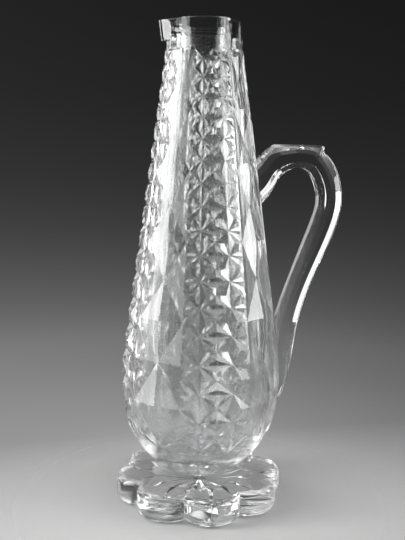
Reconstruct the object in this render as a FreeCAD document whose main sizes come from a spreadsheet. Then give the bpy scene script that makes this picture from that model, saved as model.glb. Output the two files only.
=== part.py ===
import FreeCAD, Part
import math
import os
from types import SimpleNamespace

import Sketcher

Vec = FreeCAD.Vector
UP = Vec(0, 0, 1)
AXIS_POINT = Vec(0, 0, 0)
ORIGIN = (-1, 1)
X_LINE = -1
Z_LINE = X_LINE - 1

# Driving sizes: lengths in millimetres, angles in degrees, counts and shares as named
SIZES = {
    # applied foot
    "foot_radius": 55.0,
    "foot_height": 21.0,
    "foot_hub_share": 0.6545,
    "waist_radius": 23.0,
    "lobe_count": 8,
    "lobe_radius_share": 0.351,
    "lobe_height": 17.0,
    "lobe_edge_radius": 4.5,
    "base_star_count": 16,
    "base_star_reach_share": 0.745,
    "base_star_waist_share": 0.455,
    "base_star_hub": 2.0,
    "base_star_depth": 3.5,
    # blown body
    "belly_radius": 51.6,
    "belly_rise": 61.0,
    "belly_round": 150.0,
    "base_round": 60.0,
    "neck_radius": 24.8,
    "neck_rise": 266.0,
    "wall": 6.5,
    "floor_thickness": 7.0,
    "cavity_round": 38.0,
    # collar, rim and pouring lip
    "collar_radius": 23.7,
    "collar_height": 8.5,
    "rim_radius": 22.3,
    "rim_height": 9.5,
    "mouth_radius": 17.2,
    "lip_reach": 6.4,
    "lip_heel_reach": 4.8,
    "lip_height": 12.0,
    "lip_tip_round": 5.0,
    "lip_wall": 4.0,
    "channel_round": 2.5,
    "channel_heel": 1.0,
    # cut panels
    "panel_count": 4,
    "star_panel_angle": 50.0,
    "lozenge_count": 5,
    "handle_panel_rows": 3,
    "row_growth_share": 1.0175,
    "cut_margin": 1.2,
    "cut_foot_rise": 23.0,
    "star_depth": 2.0,
    "land_depth": 0.25,
    "lozenge_sink_share": 1.3,
    "lozenge_ridge_share": 0.25,
    "cutter_reach": 1000.0,
    # drawn handle
    "handle_drop": 55.5,
    "handle_span": 169.5,
    "handle_reach": 59.2,
    "handle_width": 13.0,
    "thumb_length": 15.0,
    "thumb_height": 5.0,
    "thumb_width": 7.5,
    # every cut runs this far past the face that it opens
    "overrun": 2.0,
}

# Handle sections from the upper joint round to the tail's tip: stand-off from the body and height of the
# inner edge, the same of the outer edge, and the width, as shares of reach, span and width
HANDLE_SECTION_SHARES = (
    (-0.057, 0.746, -0.044, 0.926, 1.20),
    (0.109, 0.802, 0.078, 0.959, 1.14),
    (0.197, 0.853, 0.192, 0.991, 1.08),
    (0.306, 0.894, 0.336, 1.012, 1.03),
    (0.468, 0.920, 0.519, 1.006, 1.00),
    (0.577, 0.909, 0.714, 0.987, 1.00),
    (0.648, 0.876, 0.878, 0.953, 1.00),
    (0.684, 0.820, 0.970, 0.879, 1.00),
    (0.665, 0.765, 0.965, 0.774, 1.00),
    (0.554, 0.690, 0.832, 0.664, 0.98),
    (0.383, 0.578, 0.622, 0.543, 0.95),
    (0.210, 0.460, 0.430, 0.431, 0.94),
    (0.059, 0.354, 0.298, 0.324, 0.96),
    (-0.033, 0.254, 0.215, 0.230, 0.98),
    (-0.060, 0.136, 0.152, 0.124, 0.92),
    (-0.050, 0.047, 0.118, 0.038, 0.76),
    (-0.037, 0.006, 0.055, 0.000, 0.44),
)
# Corners of the cut handle section: share of the depth from the inner edge, share of the half width
HANDLE_CORNER_SHARES = ((0.0, 0.40), (0.24, 1.0), (0.64, 1.0), (0.90, 0.62), (1.0, 0.28))
# Where the thumb rest ends, as a share of the handle's reach
THUMB_END_SHARE = 0.80
# How far a panel's cutter opens past the panel's border, as a share of the border's angle
FLARE_SHARE = 1.2
# How much of the gap between two rays a ray of the base star fills at its widest
RAY_FILL_SHARE = 0.94

NECK = "sizes.foot_height + sizes.neck_rise"
COLLAR_TOP = NECK + " + sizes.collar_height"
RIM_TOP = COLLAR_TOP + " + sizes.rim_height"
BELLY = "sizes.foot_height + sizes.belly_rise"
FLOOR = "sizes.foot_height + sizes.floor_thickness"
FOOT_HUB = "sizes.foot_radius * sizes.foot_hub_share"
LOBE = "sizes.foot_radius * sizes.lobe_radius_share"


def make_sheet(doc):
    """Write the driving sizes into a spreadsheet, one aliased cell each."""
    sheet = doc.addObject("Spreadsheet::Sheet", "sizes")
    for row, (alias, number) in enumerate(SIZES.items(), start=1):
        sheet.set(f"A{row}", alias)
        sheet.set(f"B{row}", str(number))
        sheet.setAlias(f"B{row}", alias)
    doc.recompute()
    return sheet


def value(expression):
    """Number that an expression on the sheet gives."""
    return float(sheet.evalExpression(expression))


def on_circle(centre, radius, angle):
    """Point of a circle in a sketch's own plane."""
    return Vec(centre.x + radius * math.cos(angle), centre.y + radius * math.sin(angle), 0)


def angle_of(start, end):
    """Direction from one sketch point to another, in radians."""
    return math.atan2(end.y - start.y, end.x - start.x)


def body_outline():
    """Centres and tangent angles of the half-section: taper, belly arc, base arc and cavity arc."""
    belly = Vec(size.belly_radius - size.belly_round, value(BELLY), 0)
    neck = Vec(size.neck_radius, value(NECK), 0)
    waist = Vec(size.waist_radius, size.foot_height, 0)
    taper_angle = angle_of(belly, neck) - math.acos(size.belly_round / belly.distanceToPoint(neck))
    inset = size.belly_round - size.base_round
    span = belly.distanceToPoint(waist)
    opening = (inset ** 2 + span ** 2 - size.base_round ** 2) / (2 * inset * span)
    base_angle = angle_of(belly, waist) + math.acos(opening)
    inner_round = size.belly_round - size.wall
    cavity_y = value(FLOOR) + size.cavity_round
    cavity_span = inner_round - size.cavity_round
    cavity_x = belly.x + math.sqrt(cavity_span ** 2 - (cavity_y - belly.y) ** 2)
    cavity = Vec(cavity_x, cavity_y, 0)
    return SimpleNamespace(
        belly=belly, neck=neck, waist=waist, taper_angle=taper_angle, base_angle=base_angle,
        base=on_circle(belly, inset, base_angle), inner_round=inner_round,
        taper_end=on_circle(belly, size.belly_round, taper_angle),
        base_start=on_circle(belly, size.belly_round, base_angle),
        cavity=cavity, cavity_angle=angle_of(belly, cavity))


def body_radius(height):
    """Outer radius of the uncut body at a height."""
    if height >= outline.taper_end.y:
        fall = (outline.neck.y - height) / (outline.neck.y - outline.taper_end.y)
        return outline.neck.x + (outline.taper_end.x - outline.neck.x) * fall
    if height >= outline.base_start.y:
        centre, radius = outline.belly, size.belly_round
    else:
        centre, radius = outline.base, size.base_round
    return centre.x + math.sqrt(radius ** 2 - (height - centre.y) ** 2)


def new_sketch(body, name, role, height=None):
    """Add a sketch on one of the body's own origin planes, lifted to a height where one is given."""
    sketch = body.newObject("Sketcher::SketchObject", name)
    plane = [feature for feature in body.Origin.OriginFeatures if feature.Role == role][0]
    sketch.AttachmentSupport = [(plane, "")]
    sketch.MapMode = "FlatFace"
    if height:
        sketch.setExpression("AttachmentOffset.Base.z", height)
    return sketch


def bind(sketch, kind, refs, name, expression):
    """Add a dimension to a sketch and tie it to the sheet."""
    number = sketch.addConstraint(Sketcher.Constraint(kind, *refs, value(expression)))
    sketch.renameConstraint(number, name)
    sketch.setExpression("Constraints." + name, expression)


def relate(sketch, kind, *refs):
    """Add a geometric constraint to a sketch."""
    sketch.addConstraint(Sketcher.Constraint(kind, *refs))


def line(start, end):
    """Straight sketch edge."""
    return Part.LineSegment(start, end)


def arc(centre, radius, start_angle, end_angle):
    """Round sketch edge, counter-clockwise."""
    return Part.ArcOfCircle(Part.Circle(centre, UP, radius), start_angle, end_angle)


def body_section(body):
    """Half-section of the blown body: cavity up the inside, rim, collar, taper and belly down the outside."""
    sketch = new_sketch(body, "body_section", "XZ_Plane")
    o = outline
    floor, top, collar_top = value(FLOOR), value(RIM_TOP), value(COLLAR_TOP)
    inner_end = on_circle(o.belly, o.inner_round, o.taper_angle)
    cavity_end = on_circle(o.cavity, size.cavity_round, o.cavity_angle)
    slope = (o.neck.y - o.taper_end.y) / (o.neck.x - o.taper_end.x)
    throat = Vec(size.mouth_radius, inner_end.y + (size.mouth_radius - inner_end.x) * slope, 0)
    mouth, rim = Vec(size.mouth_radius, top, 0), Vec(size.rim_radius, top, 0)
    rim_foot = Vec(size.rim_radius, collar_top, 0)
    collar, collar_foot = Vec(size.collar_radius, collar_top, 0), Vec(size.collar_radius, o.neck.y, 0)
    floor_middle, floor_edge = Vec(0, floor, 0), Vec(o.cavity.x, floor, 0)
    seat_middle = Vec(0, size.foot_height, 0)
    edges = [
        line(floor_middle, floor_edge),
        arc(o.cavity, size.cavity_round, -math.pi / 2, o.cavity_angle),
        arc(o.belly, o.inner_round, o.cavity_angle, o.taper_angle),
        line(inner_end, throat),
        line(throat, mouth),
        line(mouth, rim),
        line(rim, rim_foot),
        line(rim_foot, collar),
        line(collar, collar_foot),
        line(collar_foot, o.neck),
        line(o.neck, o.taper_end),
        arc(o.belly, size.belly_round, o.base_angle, o.taper_angle),
        arc(o.base, size.base_round, angle_of(o.base, o.waist), o.base_angle),
        line(o.waist, seat_middle),
        line(seat_middle, floor_middle),
    ]
    (floor_line, cavity_arc, inner_arc, inner_taper, bore, rim_face, rim_side, rim_step, collar_side,
     collar_step, taper, belly_arc, base_arc, seat, middle) = range(len(edges))
    sketch.addGeometry(edges, False)
    for joint in ((floor_line, 2, cavity_arc, 1), (cavity_arc, 2, inner_arc, 1), (inner_arc, 2, inner_taper, 1),
                  (taper, 2, belly_arc, 2), (belly_arc, 1, base_arc, 2)):
        relate(sketch, "Tangent", *joint)
    for joint in ((inner_taper, 2, bore, 1), (bore, 2, rim_face, 1), (rim_face, 2, rim_side, 1),
                  (rim_side, 2, rim_step, 1), (rim_step, 2, collar_side, 1), (collar_side, 2, collar_step, 1),
                  (collar_step, 2, taper, 1), (base_arc, 1, seat, 1), (seat, 2, middle, 1),
                  (middle, 2, floor_line, 1), (inner_arc, 3, belly_arc, 3)):
        relate(sketch, "Coincident", *joint)
    for edge in (floor_line, rim_face, rim_step, collar_step, seat):
        relate(sketch, "Horizontal", edge)
    for edge in (bore, rim_side, collar_side, middle):
        relate(sketch, "Vertical", edge)
    relate(sketch, "PointOnObject", floor_line, 1, Z_LINE)
    relate(sketch, "Parallel", inner_taper, taper)
    bind(sketch, "Radius", (belly_arc,), "belly_round", "sizes.belly_round")
    bind(sketch, "Radius", (inner_arc,), "inner_round", "sizes.belly_round - sizes.wall")
    bind(sketch, "Radius", (base_arc,), "base_round", "sizes.base_round")
    bind(sketch, "Radius", (cavity_arc,), "cavity_round", "sizes.cavity_round")
    bind(sketch, "DistanceX", (belly_arc, 3, *ORIGIN), "belly_inset", "sizes.belly_round - sizes.belly_radius")
    for refs, name, across, up in (
            ((belly_arc, 3), "belly", None, BELLY), ((floor_line, 1), "floor", None, FLOOR),
            ((taper, 1), "neck", "sizes.neck_radius", NECK),
            ((rim_face, 1), "mouth", "sizes.mouth_radius", RIM_TOP),
            ((rim_side, 1), "rim", "sizes.rim_radius", None),
            ((collar_side, 1), "collar", "sizes.collar_radius", COLLAR_TOP),
            ((base_arc, 1), "waist", "sizes.waist_radius", "sizes.foot_height")):
        if across:
            bind(sketch, "DistanceX", (*ORIGIN, *refs), name + "_across", across)
        if up:
            bind(sketch, "DistanceY", (*ORIGIN, *refs), name + "_up", up)
    return sketch


def lip_outline(body, name, height, ring, tip, tip_round):
    """Plan of the pouring lip at a height: a round tip joined to a ring by two tangents."""
    sketch = new_sketch(body, name, "XY_Plane", height)
    ring_radius, round_radius = value(ring), value(tip_round)
    centre = Vec(round_radius - value(tip), 0, 0)
    half_angle = math.acos((ring_radius - round_radius) / -centre.x)
    near, far = math.pi - half_angle, math.pi + half_angle
    ring_near, ring_far = on_circle(AXIS_POINT, ring_radius, near), on_circle(AXIS_POINT, ring_radius, far)
    sketch.addGeometry([
        arc(centre, round_radius, near, far),
        line(on_circle(centre, round_radius, near), ring_near),
        line(ring_near, ring_far),
        line(ring_far, on_circle(centre, round_radius, far))], False)
    sketch.addGeometry(Part.Circle(AXIS_POINT, UP, ring_radius), True)
    tip_arc, near_side, chord, far_side, ring_circle = range(5)
    relate(sketch, "Coincident", ring_circle, 3, *ORIGIN)
    relate(sketch, "PointOnObject", tip_arc, 3, X_LINE)
    relate(sketch, "Tangent", tip_arc, 1, near_side, 1)
    relate(sketch, "Tangent", tip_arc, 2, far_side, 2)
    relate(sketch, "Coincident", near_side, 2, chord, 1)
    relate(sketch, "Coincident", chord, 2, far_side, 1)
    relate(sketch, "Tangent", near_side, 2, ring_circle)
    relate(sketch, "Tangent", far_side, 1, ring_circle)
    bind(sketch, "Radius", (ring_circle,), "ring", ring)
    bind(sketch, "Radius", (tip_arc,), "tip_round", tip_round)
    bind(sketch, "DistanceX", (tip_arc, 3, *ORIGIN), "tip", f"{tip} - ({tip_round})")
    return sketch


def loft_between(body, kind, name, lower, upper):
    """Add or cut a straight loft between two outlines of a body."""
    loft = body.newObject(kind, name)
    loft.Profile = lower
    loft.Sections = [upper]
    loft.Ruled = True
    for sketch in (lower, upper):
        sketch.Visibility = False
    return loft


def make_blank(doc):
    """Blown body before cutting: one turned shell with a drawn-out pouring lip."""
    body = doc.addObject("PartDesign::Body", "blank")
    turned = body.newObject("PartDesign::Revolution", "turned_shell")
    section = body_section(body)
    turned.Profile = section
    turned.ReferenceAxis = (section, ["V_Axis"])
    turned.Angle = 360
    doc.recompute()
    heel = f"{RIM_TOP} - sizes.lip_height"
    lip = [
        lip_outline(body, "lip_heel", heel, "sizes.rim_radius", "sizes.rim_radius + sizes.lip_heel_reach",
                    "sizes.lip_tip_round"),
        lip_outline(body, "lip_top", RIM_TOP, "sizes.rim_radius", "sizes.rim_radius + sizes.lip_reach",
                    "sizes.lip_tip_round")]
    loft_between(body, "PartDesign::AdditiveLoft", "pouring_lip", *lip)
    doc.recompute()
    channel = [
        lip_outline(body, "channel_heel", heel, "sizes.mouth_radius",
                    "sizes.mouth_radius + sizes.channel_heel", "sizes.channel_round"),
        lip_outline(body, "channel_top", RIM_TOP, "sizes.mouth_radius",
                    "sizes.rim_radius + sizes.lip_reach - sizes.lip_wall", "sizes.channel_round")]
    loft_between(body, "PartDesign::SubtractiveLoft", "pouring_channel", *channel)
    doc.recompute()
    ring = new_sketch(body, "mouth_ring", "XY_Plane", RIM_TOP)
    ring.addGeometry(Part.Circle(AXIS_POINT, UP, size.mouth_radius), False)
    relate(ring, "Coincident", 0, 3, *ORIGIN)
    bind(ring, "Radius", (0,), "mouth", "sizes.mouth_radius")
    mouth = body.newObject("PartDesign::Pocket", "mouth_bore")
    mouth.Profile = ring
    mouth.setExpression("Length", "sizes.lip_height")
    doc.recompute()
    return body


def cut_levels():
    """Heights of the star rows and of the crossings between them, from the collar down to the lowest tip."""
    steps = 2 * (3 * size.lozenge_count + 1) + 1
    top = value(NECK) - size.cut_margin
    span = top - (size.foot_height + size.cut_foot_rise)
    weights = [size.row_growth_share ** step for step in range(int(steps))]
    scale = span / sum(weights)
    heights = [top]
    for weight in weights:
        heights.append(heights[-1] - weight * scale)
    return heights


def node(angle, height, depth):
    """Point below the uncut body's surface, at an azimuth in degrees from the panel's middle."""
    turn = math.radians(angle)
    radius = body_radius(height) - depth
    return Vec(radius * math.cos(turn), radius * math.sin(turn), height)


def land(angle, level):
    """Point on the land that the cuts leave standing."""
    return node(angle, levels[level], size.land_depth)


def groove(angle, level):
    """Point at the bottom of the star grooves, deeper where the jug is wider."""
    height = levels[level]
    return node(angle, height, size.land_depth + size.star_depth * body_radius(height) / size.belly_radius)


def peaked(first, second, third):
    """Three facets that rise from a triangle of groove lines to a peak on the land."""
    corners = (first, second, third)
    sides = [corners[i - 1].distanceToPoint(corners[i - 2]) for i in range(3)]
    middle = sum((corner * side for corner, side in zip(corners, sides)), AXIS_POINT) / sum(sides)
    radius = body_radius(middle.z) - size.land_depth
    across = Vec(middle.x, middle.y, 0).normalize() * radius
    peak = Vec(across.x, across.y, middle.z)
    return [(corners[i - 1], corners[i], peak) for i in range(3)]


def star_facets(rows):
    """Facets of a star panel: two columns of eight-rayed stars between two straight borders."""
    border = size.star_panel_angle / 2
    column = border / 2
    last = 2 * rows
    facets = []
    for level in range(1, last, 2):
        left, right = groove(-column, level), groove(column, level)
        for crossing in (level - 1, level + 1):
            edge = land if crossing in (0, last) else groove
            facets += peaked(left, right, edge(0, crossing))
        for side, star in ((-1, left), (1, right)):
            for crossing in (level - 1, level + 1):
                facets += peaked(star, land(side * border, level), land(side * border, crossing))
            if level + 2 < last:
                below = groove(side * column, level + 2)
                facets += peaked(star, below, groove(0, level + 1))
                facets += peaked(star, below, land(side * border, level + 1))
    for level, end, crossing in ((1, 0, 0), (last - 1, last + 1, last)):
        for side in (-1, 1):
            star, tip = groove(side * column, level), land(side * column, end)
            facets += peaked(star, tip, land(0, crossing))
            facets += peaked(star, tip, land(side * border, crossing))
    return facets


def lozenge_facets():
    """Facets of a lozenge panel: a chain of folded lozenges with long triangles along both borders."""
    half = 180 / size.panel_count - size.star_panel_angle / 2
    sagitta_share = 1 - math.cos(math.radians(half))
    last = len(levels) - 2
    facets = []
    for middle in range(0, last, 6):
        height, crossing = levels[middle], levels[middle + 3]
        ridge = node(0, height, body_radius(height) * sagitta_share * size.lozenge_ridge_share)
        dip = body_radius(crossing) * sagitta_share * size.lozenge_sink_share
        tip = node(0, crossing, dip) if middle + 3 < last else land(0, middle + 3)
        for side in (-half, half):
            facets.append((ridge, land(side, middle), tip))
            if middle:
                facets.append((ridge, land(side, middle), tip_above))
            for level in range(middle, min(middle + 6, last)):
                facets.append((tip, land(side, level), land(side, level + 1)))
        tip_above = tip
    return facets


def flared(point):
    """Point straight out from a panel's edge, clear of the body and turned past the panel's border."""
    turn = math.atan2(point.y, point.x) * FLARE_SHARE
    radius = size.belly_radius + size.overrun
    return Vec(radius * math.cos(turn), radius * math.sin(turn), point.z)


def panel_cutter(facets):
    """Solid between a panel's facets and a far point in front of the panel."""
    points, numbers = [], {}

    def number_of(point):
        """Index of a point, shared by the facets that meet there."""
        key = tuple(round(coordinate / size.land_depth, 3) for coordinate in point)
        if key not in numbers:
            numbers[key] = len(points)
            points.append(point)
        return numbers[key]

    triangles = []
    for facet in facets:
        first, second, third = facet
        outward = Vec(first.x, first.y, 0)
        if (second - first).cross(third - first).dot(outward) > 0:
            facet = (first, third, second)
        triangles.append(tuple(number_of(point) for point in facet))
    edges = {(tri[i - 1], tri[i]) for tri in triangles for i in range(3)}
    border = [(start, end) for start, end in edges if (end, start) not in edges]
    far = number_of(Vec(size.cutter_reach, 0, sum(point.z for point in points) / len(points)))
    for start, end in border:
        out_start, out_end = (number_of(flared(points[i])) for i in (start, end))
        triangles += [(end, start, out_start), (end, out_start, out_end), (out_end, out_start, far)]
    shell = Part.makeShell([Part.Face(Part.makePolygon([points[i] for i in (*tri, tri[0])])) for tri in triangles])
    shell.sewShape()
    return Part.makeSolid(shell)


def turned(shape, angle):
    """Copy of a shape turned about the jug's axis."""
    copy = shape.copy()
    copy.rotate(AXIS_POINT, UP, angle)
    return copy


def add_shape(doc, name, shape):
    """Add a shape that is worked out from the sheet's sizes to the document."""
    feature = doc.addObject("Part::Feature", name)
    feature.Shape = shape
    feature.Placement = FreeCAD.Placement()
    return feature


def subtract(doc, name, base, tool):
    """Cut one object of the document with another and name the result."""
    result = doc.addObject("Part::Cut", name)
    result.Base = base
    result.Tool = tool
    result.Label = name
    doc.recompute()
    return result


def make_body(doc, blank):
    """Body with four star panels, the one at the handle short, and four lozenge panels between them."""
    turn = 360 / size.panel_count
    star = panel_cutter(star_facets((len(levels) - 2) // 2))
    lozenge = panel_cutter(lozenge_facets())
    cutters = [panel_cutter(star_facets(int(size.handle_panel_rows)))]
    for panel in range(int(size.panel_count)):
        if panel:
            cutters.append(turned(star, panel * turn))
        cutters.append(turned(lozenge, (panel + 0.5) * turn))
    return subtract(doc, "body", blank, add_shape(doc, "panel_cutters", Part.makeCompound(cutters)))


def handle_section(shares):
    """Closed ten-sided wire of one handle section."""
    inner_out, inner_up, outer_out, outer_up, width_share = shares
    tail = value(NECK) - size.handle_drop - size.handle_span
    ends = []
    for out, up in ((inner_out, inner_up), (outer_out, outer_up)):
        height = tail + up * size.handle_span
        ends.append(Vec(body_radius(height) + out * size.handle_reach, 0, height))
    inner, outer = ends
    half_width = size.handle_width * width_share / 2
    corners = [inner + (outer - inner) * depth + Vec(0, half_width * side, 0)
               for depth, side in HANDLE_CORNER_SHARES]
    corners += [Vec(corner.x, -corner.y, corner.z) for corner in reversed(corners)]
    return Part.makePolygon(corners + corners[:1])


def make_handle(doc, blank):
    """Drawn handle: a ten-sided loop with a flat cut on its crown and a thumb rest, seated on the body."""
    loop = Part.makeLoft([handle_section(shares) for shares in HANDLE_SECTION_SHARES], True, False)
    crown = value(NECK) - size.handle_drop
    end = body_radius(crown) + size.handle_reach * THUMB_END_SHARE
    reach = size.belly_radius + size.handle_reach
    above = Part.makeBox(reach, 2 * size.handle_width, size.handle_span, Vec(0, -size.handle_width, crown))
    wedge = Part.makePolygon([
        Vec(end - size.thumb_length, -size.thumb_width / 2, crown), Vec(end, -size.thumb_width / 2, crown),
        Vec(end, -size.thumb_width / 2, crown - size.thumb_height),
        Vec(end - size.thumb_length, -size.thumb_width / 2, crown - size.thumb_height),
        Vec(end - size.thumb_length, -size.thumb_width / 2, crown)])
    thumb_rest = Part.Face(wedge).extrude(Vec(0, size.thumb_width, 0))
    rough = add_shape(doc, "handle_rough", loop.cut(above).fuse(thumb_rest))
    return subtract(doc, "handle", rough, blank)


def foot_hub_section(body):
    """Half-section of the foot's middle: flat below, with a cove that rises to the waist."""
    sketch = new_sketch(body, "hub_section", "XZ_Plane")
    hub, lobe_top = value(FOOT_HUB), size.lobe_height
    run, rise = hub - size.waist_radius, size.foot_height - lobe_top
    cove = (run ** 2 + rise ** 2) / (2 * rise)
    centre = Vec(hub, lobe_top + cove, 0)
    middle, rim = Vec(0, 0, 0), Vec(hub, 0, 0)
    shoulder, waist = Vec(hub, lobe_top, 0), Vec(size.waist_radius, size.foot_height, 0)
    seat = Vec(0, size.foot_height, 0)
    sketch.addGeometry([
        line(middle, rim), line(rim, shoulder), arc(centre, cove, angle_of(centre, waist), -math.pi / 2),
        line(waist, seat), line(seat, middle)], False)
    bottom, side, cove_arc, top, axis = range(5)
    for joint in ((bottom, 2, side, 1), (side, 2, cove_arc, 2), (cove_arc, 1, top, 1), (top, 2, axis, 1),
                  (axis, 2, bottom, 1), (bottom, 1, *ORIGIN)):
        relate(sketch, "Coincident", *joint)
    for edge in (bottom, top):
        relate(sketch, "Horizontal", edge)
    for edge in (side, axis):
        relate(sketch, "Vertical", edge)
    relate(sketch, "Vertical", cove_arc, 3, cove_arc, 2)
    bind(sketch, "DistanceX", (*ORIGIN, bottom, 2), "hub", FOOT_HUB)
    bind(sketch, "DistanceY", (*ORIGIN, side, 2), "shoulder", "sizes.lobe_height")
    bind(sketch, "DistanceX", (*ORIGIN, top, 1), "waist", "sizes.waist_radius")
    bind(sketch, "DistanceY", (*ORIGIN, top, 1), "seat", "sizes.foot_height")
    return sketch


def lobe_section(body):
    """Half-section of one lobe about its own upright axis, with both edges rounded."""
    sketch = new_sketch(body, "lobe_section", "XZ_Plane")
    axis_x = size.foot_radius - value(LOBE)
    flat_x, side_x = size.foot_radius - size.lobe_edge_radius, size.foot_radius
    low, high, top = size.lobe_edge_radius, size.lobe_height - size.lobe_edge_radius, size.lobe_height
    sketch.addGeometry([
        line(Vec(axis_x, 0, 0), Vec(flat_x, 0, 0)),
        arc(Vec(flat_x, low, 0), size.lobe_edge_radius, -math.pi / 2, 0),
        line(Vec(side_x, low, 0), Vec(side_x, high, 0)),
        arc(Vec(flat_x, high, 0), size.lobe_edge_radius, 0, math.pi / 2),
        line(Vec(flat_x, top, 0), Vec(axis_x, top, 0)),
        line(Vec(axis_x, top, 0), Vec(axis_x, 0, 0))], False)
    bottom, low_arc, side, high_arc, crown, spindle = range(6)
    for joint in ((bottom, 2, low_arc, 1), (low_arc, 2, side, 1), (side, 2, high_arc, 1), (high_arc, 2, crown, 1)):
        relate(sketch, "Tangent", *joint)
    for joint in ((crown, 2, spindle, 1), (spindle, 2, bottom, 1)):
        relate(sketch, "Coincident", *joint)
    for edge in (bottom, crown):
        relate(sketch, "Horizontal", edge)
    for edge in (side, spindle):
        relate(sketch, "Vertical", edge)
    relate(sketch, "PointOnObject", bottom, 1, X_LINE)
    for edge, name in ((low_arc, "low_edge"), (high_arc, "high_edge")):
        bind(sketch, "Radius", (edge,), name, "sizes.lobe_edge_radius")
    bind(sketch, "DistanceX", (*ORIGIN, side, 1), "outside", "sizes.foot_radius")
    bind(sketch, "DistanceX", (bottom, 1, side, 1), "lobe", LOBE)
    bind(sketch, "DistanceY", (bottom, 1, crown, 2), "height", "sizes.lobe_height")
    return sketch, spindle


def base_star():
    """Rays of the star cut into the underside: leaf-shaped mitres round the middle."""
    step = 360 / size.base_star_count
    waist = size.foot_radius * size.base_star_waist_share
    half_width = waist * math.tan(math.radians(step / 2)) * RAY_FILL_SHARE
    keel = Vec(waist, 0, size.base_star_depth)
    ring = [Vec(size.base_star_hub, 0, 0), Vec(waist, half_width, 0),
            Vec(size.foot_radius * size.base_star_reach_share, 0, 0), Vec(waist, -half_width, 0)]
    drop = Vec(0, 0, -size.overrun)
    below = [corner + drop for corner in ring]
    outlines = [below]
    for i in range(len(ring)):
        outlines += [(ring[i - 1], ring[i], keel), (ring[i - 1], ring[i], below[i], below[i - 1])]
    shell = Part.makeShell([Part.Face(Part.makePolygon([*outline, outline[0]])) for outline in outlines])
    shell.sewShape()
    ray = Part.makeSolid(shell)
    return Part.makeCompound([turned(ray, i * step) for i in range(int(size.base_star_count))])


def make_foot(doc):
    """Applied foot: a coved hub inside a ring of round lobes, star-cut underneath."""
    body = doc.addObject("PartDesign::Body", "foot_blank")
    hub = body.newObject("PartDesign::Revolution", "foot_hub")
    section = foot_hub_section(body)
    hub.Profile = section
    hub.ReferenceAxis = (section, ["V_Axis"])
    hub.Angle = 360
    doc.recompute()
    lobe = body.newObject("PartDesign::Revolution", "foot_lobe")
    section, spindle = lobe_section(body)
    lobe.Profile = section
    lobe.ReferenceAxis = (section, [f"Edge{spindle + 1}"])
    lobe.Angle = 360
    doc.recompute()
    ring = body.newObject("PartDesign::PolarPattern", "foot_lobes")
    ring.Originals = [lobe]
    ring.Axis = ([axis for axis in body.Origin.OriginFeatures if axis.Role == "Z_Axis"][0], [""])
    ring.Angle = 360
    body.Tip = ring
    ring.setExpression("Occurrences", "sizes.lobe_count")
    doc.recompute()
    return subtract(doc, "foot", body, add_shape(doc, "base_star", base_star()))


def check_document(doc):
    """Stop when an object of the document failed or holds no sound shape."""
    for item in doc.Objects:
        if any(state in ("Invalid", "Error") for state in item.State):
            raise RuntimeError(f"{item.Label} failed: {item.State}")
    for item in (body, handle, foot):
        if item.Shape.isNull() or not item.Shape.isValid() or len(item.Shape.Solids) != 1:
            raise RuntimeError(f"{item.Label} is not one sound solid")


doc = FreeCAD.newDocument("cut_crystal_jug")
sheet = make_sheet(doc)
size = SimpleNamespace(**{alias: sheet.get(alias) for alias in SIZES})
outline = body_outline()
levels = cut_levels()

blank = make_blank(doc)
body = make_body(doc, blank)
handle = make_handle(doc, blank)
foot = make_foot(doc)
doc.recompute()
check_document(doc)

os.makedirs("parts", exist_ok=True)
for piece in (body, handle, foot):
    piece.Shape.exportStep(f"parts/{piece.Label}.step")
    print(piece.Label, round(piece.Shape.Volume), piece.Shape.BoundBox)
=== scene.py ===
"""Cut crystal jug: a wheel-cut body, a drawn handle and a lobed foot on a pale studio floor."""
import logging
import math
import random
from dataclasses import dataclass, field
from enum import Enum
from functools import cached_property
from typing import Callable, ClassVar, Iterable, Sequence

import bmesh
import bpy
from bmesh.types import BMEdge, BMesh, BMFace, BMVert
from bpy.types import Material, NodeSocket, NodeTree, Object
from mathutils import Matrix, Vector


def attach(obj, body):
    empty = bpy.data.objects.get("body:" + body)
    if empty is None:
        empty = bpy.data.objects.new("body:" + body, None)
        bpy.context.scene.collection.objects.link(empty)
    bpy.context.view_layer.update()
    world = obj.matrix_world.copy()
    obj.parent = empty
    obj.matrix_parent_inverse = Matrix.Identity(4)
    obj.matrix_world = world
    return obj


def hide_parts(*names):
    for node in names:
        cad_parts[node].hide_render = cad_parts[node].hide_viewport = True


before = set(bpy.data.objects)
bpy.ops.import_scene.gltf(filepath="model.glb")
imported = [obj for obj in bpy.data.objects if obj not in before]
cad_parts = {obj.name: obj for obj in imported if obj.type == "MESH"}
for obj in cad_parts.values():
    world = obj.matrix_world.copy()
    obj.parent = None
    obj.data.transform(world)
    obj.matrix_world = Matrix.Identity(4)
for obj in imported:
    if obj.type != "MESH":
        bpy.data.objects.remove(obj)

LOG = logging.getLogger("cut_crystal_jug")
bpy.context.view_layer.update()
ROOT_BODY = "root"
AXIS = Vector((0.0, 0.0, 1.0))
TURN_STEPS = 144
STEP_ANGLE = 360.0 / TURN_STEPS
SHARP = math.radians(34.0)

# Lengths within which points are merged, slivers are dissolved and trimmed edges lie on their plane
MERGE = 2e-5
SLIVER = 1e-6
TRIM = 1e-7

# Degrees or levels within which two lines of a cut panel count as one, and digits that tell its points apart
NEAR = 1.0
GRID_DIGITS = 2

Span = tuple[float, float]
Colour = tuple[float, float, float]
Place = Callable[[Vector], Vector]
Line = Callable[[float], float]
Inputs = dict[str | int, NodeSocket | float | tuple[float, ...]]


class Node(Enum):
    """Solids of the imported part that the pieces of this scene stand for."""

    BODY = "body"
    HANDLE = "handle"
    FOOT = "foot"

    @property
    def slot(self) -> str:
        """Material slot of the record that the solid takes its finish from."""
        return f"crystal_{self.value}"


def polar(radius: float, degrees: float, height: float) -> Vector:
    """Point at a radius, an azimuth and a height."""
    turn = math.radians(degrees)
    return Vector((radius * math.cos(turn), radius * math.sin(turn), height))


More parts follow.
